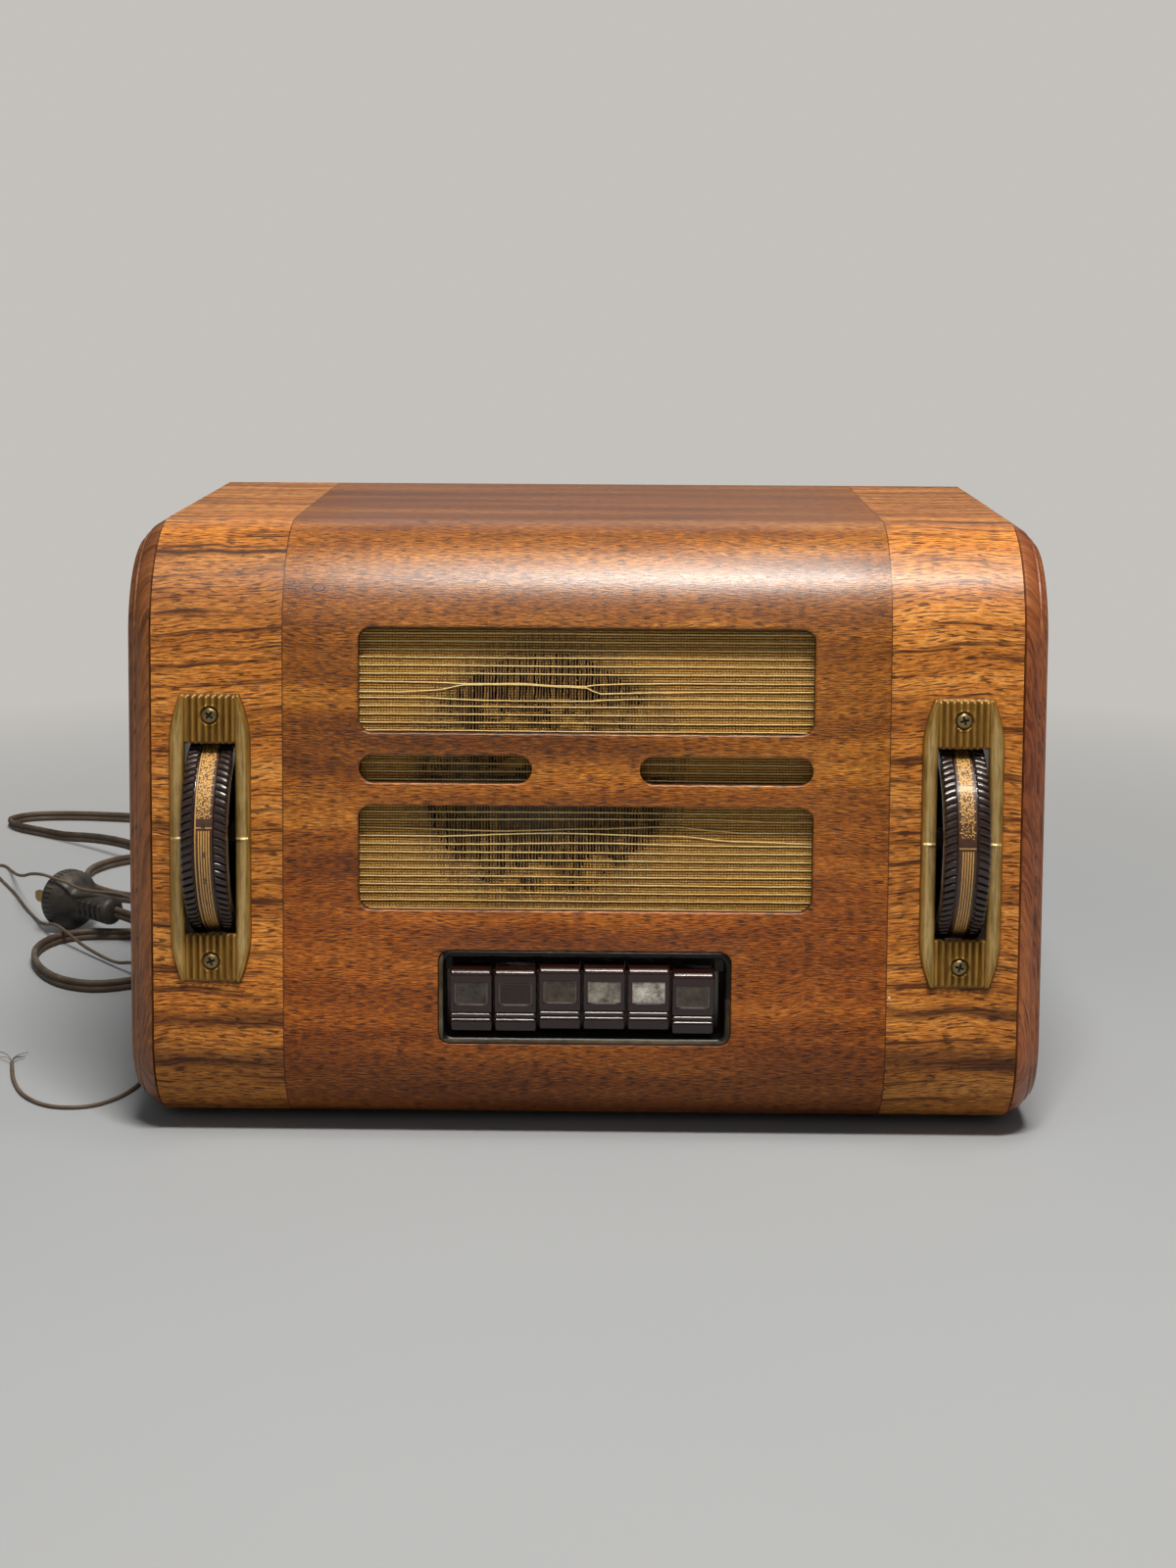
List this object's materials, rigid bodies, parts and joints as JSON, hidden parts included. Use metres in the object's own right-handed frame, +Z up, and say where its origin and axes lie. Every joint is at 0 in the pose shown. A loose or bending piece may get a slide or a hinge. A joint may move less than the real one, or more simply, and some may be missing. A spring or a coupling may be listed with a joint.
{
  "type": "table radio",
  "caption": "Wooden table radio with a sloping bent-plywood front, grille windows, ribbed thumbwheels, station keys, open back with tube chassis, mains lead and aerial lead.",
  "frame": {"origin": "middle of the cabinet's footprint on the surface it stands on", "axes": "+X to the right as seen from the front, along the cabinet's width, +Y to the open back, +Z up"},
  "size_m": [0.5771, 0.5826, 0.255],
  "materials": {
    "mahogany_front": "clear lacquer, satin to gloss",
    "cheek_wood": "clear lacquer, gloss",
    "plain_wood": "bare",
    "felt": "felt",
    "grille_cloth": "open weave with gold threads",
    "old_bronze": "antique bronze, worn on the ridges",
    "black_bakelite": "satin",
    "brown_bakelite": "glossy moulded",
    "gold_print": "printed strip",
    "steel": "plated steel",
    "aluminium": "bare",
    "chassis_paint": "grey plated sheet",
    "black_paint": "black paint",
    "cone_paper": "pressed paper",
    "wax_paper": "waxed paper",
    "brown_board": "moulded board",
    "tube_glass": "clear blown glass",
    "drive_cord": "woven cord",
    "cord_rubber": "aged brown rubber",
    "black_rubber": "black rubber",
    "brass": "tarnished",
    "aerial_wire": "tan covered wire"
  },
  "bodies": {
    "cabinet": {"cabinet_wrap": "mahogany_front", "side_left": "cheek_wood", "side_right": "cheek_wood", "bottom_board": "plain_wood", "glue_blocks": "plain_wood", "feet": "felt", "baffle_board": "plain_wood", "grille_cloth": "grille_cloth", "plate_left": "old_bronze", "plate_right": "old_bronze", "plate_screws": "old_bronze", "key_bezel": "black_bakelite", "volume_control": "steel", "shaft_brackets": "steel", "dial_cord": "drive_cord", "gang_frame": "steel", "gang_stator": "aluminium", "key_bank": "steel", "key_springs": "steel", "speaker_basket": "chassis_paint", "speaker_surround": "cone_paper", "speaker_magnet": "black_paint", "speaker_bolts": "steel", "chassis": "chassis_paint", "chassis_bolts": "steel", "under_chassis_parts": "wax_paper", "output_transformer": "black_paint", "mains_transformer": "black_paint", "tube_sockets": "brown_board", "tube_mixer": "black_paint", "tube_if": "black_paint", "tube_detector": "black_paint", "tube_output": "black_paint", "rectifier_base": "brown_board", "rectifier_glass": "tube_glass", "if_cans": "aluminium", "filter_capacitor": "aluminium", "terminal_strip": "brown_board", "cord_grommet": "black_rubber", "mains_cord": "cord_rubber", "mains_coil": "cord_rubber", "mains_plug": "black_rubber", "plug_prongs": "brass", "antenna_lead": "aerial_wire"},
    "volume": {"volume_wheel": "brown_bakelite", "volume_band": "gold_print", "volume_shaft": "steel"},
    "tuning": {"tuning_wheel": "brown_bakelite", "tuning_band": "gold_print", "tuning_shaft": "steel"},
    "rotor": {"gang_rotor": "aluminium"},
    "cone": {"speaker_cone": "cone_paper"},
    "station_key_1": {"key_1": "brown_bakelite"},
    "station_key_2": {"key_2": "brown_bakelite"},
    "station_key_3": {"key_3": "brown_bakelite"},
    "station_key_4": {"key_4": "brown_bakelite"},
    "station_key_5": {"key_5": "brown_bakelite"},
    "station_key_6": {"key_6": "brown_bakelite"}
  },
  "joints": [
    {"name": "volume_turn", "type": "hinge", "parent": "cabinet", "child": "volume", "pos_m": [-0.1564, -0.07848, 0.12434], "axis": [1, 0, 0], "range_deg": [-150, 150]},
    {"name": "tuning_turn", "type": "hinge", "parent": "cabinet", "child": "tuning", "pos_m": [0.1564, -0.07848, 0.12434], "axis": [1, 0, 0], "range_deg": [-90, 90]},
    {"name": "rotor_turn", "type": "hinge", "parent": "cabinet", "child": "rotor", "pos_m": [0.1, 0.01098, 0.0865], "axis": [1, 0, 0], "range_deg": [-90, 90]},
    {"name": "key_1_press", "type": "slide", "parent": "cabinet", "child": "station_key_1", "axis": [0, 1, 0], "range_m": [0, 0.007], "stiffness_N_per_m": 300, "springref_m": -0.003, "deforming": ["key_springs"]},
    {"name": "key_2_press", "type": "slide", "parent": "cabinet", "child": "station_key_2", "axis": [0, 1, 0], "range_m": [0, 0.007], "stiffness_N_per_m": 300, "springref_m": -0.003, "deforming": ["key_springs"]},
    {"name": "key_3_press", "type": "slide", "parent": "cabinet", "child": "station_key_3", "axis": [0, 1, 0], "range_m": [0, 0.007], "stiffness_N_per_m": 300, "springref_m": -0.003, "deforming": ["key_springs"]},
    {"name": "key_4_press", "type": "slide", "parent": "cabinet", "child": "station_key_4", "axis": [0, 1, 0], "range_m": [0, 0.007], "stiffness_N_per_m": 300, "springref_m": -0.003, "deforming": ["key_springs"]},
    {"name": "key_5_press", "type": "slide", "parent": "cabinet", "child": "station_key_5", "axis": [0, 1, 0], "range_m": [0, 0.007], "stiffness_N_per_m": 300, "springref_m": -0.003, "deforming": ["key_springs"]},
    {"name": "key_6_press", "type": "slide", "parent": "cabinet", "child": "station_key_6", "axis": [0, 1, 0], "range_m": [0, 0.007], "stiffness_N_per_m": 300, "springref_m": -0.003, "deforming": ["key_springs"]},
    {"name": "cone_travel", "type": "slide", "parent": "cabinet", "child": "cone", "axis": [0, -0.9912, 0.1323], "range_m": [-0.0008, 0.0008], "stiffness_N_per_m": 1500}
  ],
  "couplings": [
    {"joint": "rotor_turn", "follows": "tuning_turn", "ratio": 1}
  ]
}
